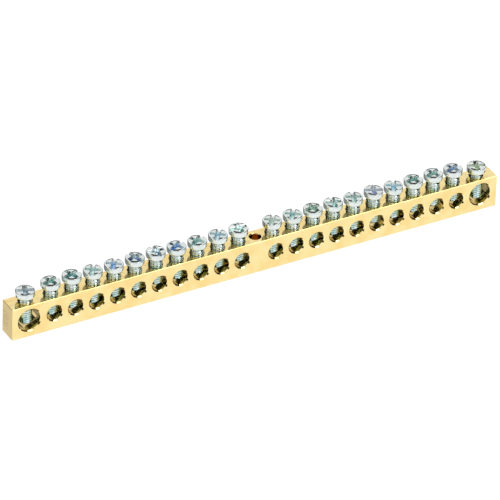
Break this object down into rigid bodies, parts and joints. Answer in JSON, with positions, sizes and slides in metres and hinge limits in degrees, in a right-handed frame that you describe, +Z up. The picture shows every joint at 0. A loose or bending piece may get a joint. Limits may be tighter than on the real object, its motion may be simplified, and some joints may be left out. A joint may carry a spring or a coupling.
{
  "type": "earth terminal bar",
  "caption": "Drilled brass earth bar: a row of round ways through its depth, each with a plated clamp screw on top, a large way at each end and a central fixing hole.",
  "frame": {"origin": "middle of the bar's bottom face", "axes": "+X along the bar, +Y from the front face to the back face along the ways, +Z up along the clamp screws"},
  "size_m": [0.1538, 0.006, 0.0148],
  "materials": {
    "brass": "drawn and milled brass, satin bright, with lightly broken edges",
    "zinc_plate": "bright blue-passivated zinc plating on steel"
  },
  "bodies": {
    "bar": {"bar": "brass"},
    "clamp_screw_01": {"clamp_screw_01": "zinc_plate"},
    "clamp_screw_02": {"clamp_screw_02": "zinc_plate"},
    "clamp_screw_03": {"clamp_screw_03": "zinc_plate"},
    "clamp_screw_04": {"clamp_screw_04": "zinc_plate"},
    "clamp_screw_05": {"clamp_screw_05": "zinc_plate"},
    "clamp_screw_06": {"clamp_screw_06": "zinc_plate"},
    "clamp_screw_07": {"clamp_screw_07": "zinc_plate"},
    "clamp_screw_08": {"clamp_screw_08": "zinc_plate"},
    "clamp_screw_09": {"clamp_screw_09": "zinc_plate"},
    "clamp_screw_10": {"clamp_screw_10": "zinc_plate"},
    "clamp_screw_11": {"clamp_screw_11": "zinc_plate"},
    "clamp_screw_12": {"clamp_screw_12": "zinc_plate"},
    "clamp_screw_13": {"clamp_screw_13": "zinc_plate"},
    "clamp_screw_14": {"clamp_screw_14": "zinc_plate"},
    "clamp_screw_15": {"clamp_screw_15": "zinc_plate"},
    "clamp_screw_16": {"clamp_screw_16": "zinc_plate"},
    "clamp_screw_17": {"clamp_screw_17": "zinc_plate"},
    "clamp_screw_18": {"clamp_screw_18": "zinc_plate"},
    "clamp_screw_19": {"clamp_screw_19": "zinc_plate"},
    "clamp_screw_20": {"clamp_screw_20": "zinc_plate"},
    "clamp_screw_21": {"clamp_screw_21": "zinc_plate"},
    "clamp_screw_22": {"clamp_screw_22": "zinc_plate"}
  },
  "joints": [
    {"name": "clamp_screw_01_travel", "type": "slide", "parent": "bar", "child": "clamp_screw_01", "axis": [0, 0, 1], "range_m": [-0.00085, 0.0055]},
    {"name": "clamp_screw_02_travel", "type": "slide", "parent": "bar", "child": "clamp_screw_02", "axis": [0, 0, 1], "range_m": [-0.00035, 0.0037]},
    {"name": "clamp_screw_03_travel", "type": "slide", "parent": "bar", "child": "clamp_screw_03", "axis": [0, 0, 1], "range_m": [-0.00055, 0.0035]},
    {"name": "clamp_screw_04_travel", "type": "slide", "parent": "bar", "child": "clamp_screw_04", "axis": [0, 0, 1], "range_m": [-0.00025, 0.0038]},
    {"name": "clamp_screw_05_travel", "type": "slide", "parent": "bar", "child": "clamp_screw_05", "axis": [0, 0, 1], "range_m": [-0.00025, 0.0038]},
    {"name": "clamp_screw_06_travel", "type": "slide", "parent": "bar", "child": "clamp_screw_06", "axis": [0, 0, 1], "range_m": [-0.00045, 0.0036]},
    {"name": "clamp_screw_07_travel", "type": "slide", "parent": "bar", "child": "clamp_screw_07", "axis": [0, 0, 1], "range_m": [-0.00065, 0.0034]},
    {"name": "clamp_screw_08_travel", "type": "slide", "parent": "bar", "child": "clamp_screw_08", "axis": [0, 0, 1], "range_m": [-0.00045, 0.0036]},
    {"name": "clamp_screw_09_travel", "type": "slide", "parent": "bar", "child": "clamp_screw_09", "axis": [0, 0, 1], "range_m": [-0.00035, 0.0037]},
    {"name": "clamp_screw_10_travel", "type": "slide", "parent": "bar", "child": "clamp_screw_10", "axis": [0, 0, 1], "range_m": [-0.00045, 0.0036]},
    {"name": "clamp_screw_11_travel", "type": "slide", "parent": "bar", "child": "clamp_screw_11", "axis": [0, 0, 1], "range_m": [-0.00065, 0.0034]},
    {"name": "clamp_screw_12_travel", "type": "slide", "parent": "bar", "child": "clamp_screw_12", "axis": [0, 0, 1], "range_m": [-0.00025, 0.0038]},
    {"name": "clamp_screw_13_travel", "type": "slide", "parent": "bar", "child": "clamp_screw_13", "axis": [0, 0, 1], "range_m": [-0.00035, 0.0037]},
    {"name": "clamp_screw_14_travel", "type": "slide", "parent": "bar", "child": "clamp_screw_14", "axis": [0, 0, 1], "range_m": [-0.00045, 0.0036]},
    {"name": "clamp_screw_15_travel", "type": "slide", "parent": "bar", "child": "clamp_screw_15", "axis": [0, 0, 1], "range_m": [-0.00055, 0.0035]},
    {"name": "clamp_screw_16_travel", "type": "slide", "parent": "bar", "child": "clamp_screw_16", "axis": [0, 0, 1], "range_m": [-0.00045, 0.0036]},
    {"name": "clamp_screw_17_travel", "type": "slide", "parent": "bar", "child": "clamp_screw_17", "axis": [0, 0, 1], "range_m": [-0.00085, 0.0032]},
    {"name": "clamp_screw_18_travel", "type": "slide", "parent": "bar", "child": "clamp_screw_18", "axis": [0, 0, 1], "range_m": [-0.00055, 0.0035]},
    {"name": "clamp_screw_19_travel", "type": "slide", "parent": "bar", "child": "clamp_screw_19", "axis": [0, 0, 1], "range_m": [-0.00075, 0.0033]},
    {"name": "clamp_screw_20_travel", "type": "slide", "parent": "bar", "child": "clamp_screw_20", "axis": [0, 0, 1], "range_m": [-0.00095, 0.0031]},
    {"name": "clamp_screw_21_travel", "type": "slide", "parent": "bar", "child": "clamp_screw_21", "axis": [0, 0, 1], "range_m": [-0.00075, 0.0033]},
    {"name": "clamp_screw_22_travel", "type": "slide", "parent": "bar", "child": "clamp_screw_22", "axis": [0, 0, 1], "range_m": [-0.00075, 0.0056]}
  ]
}
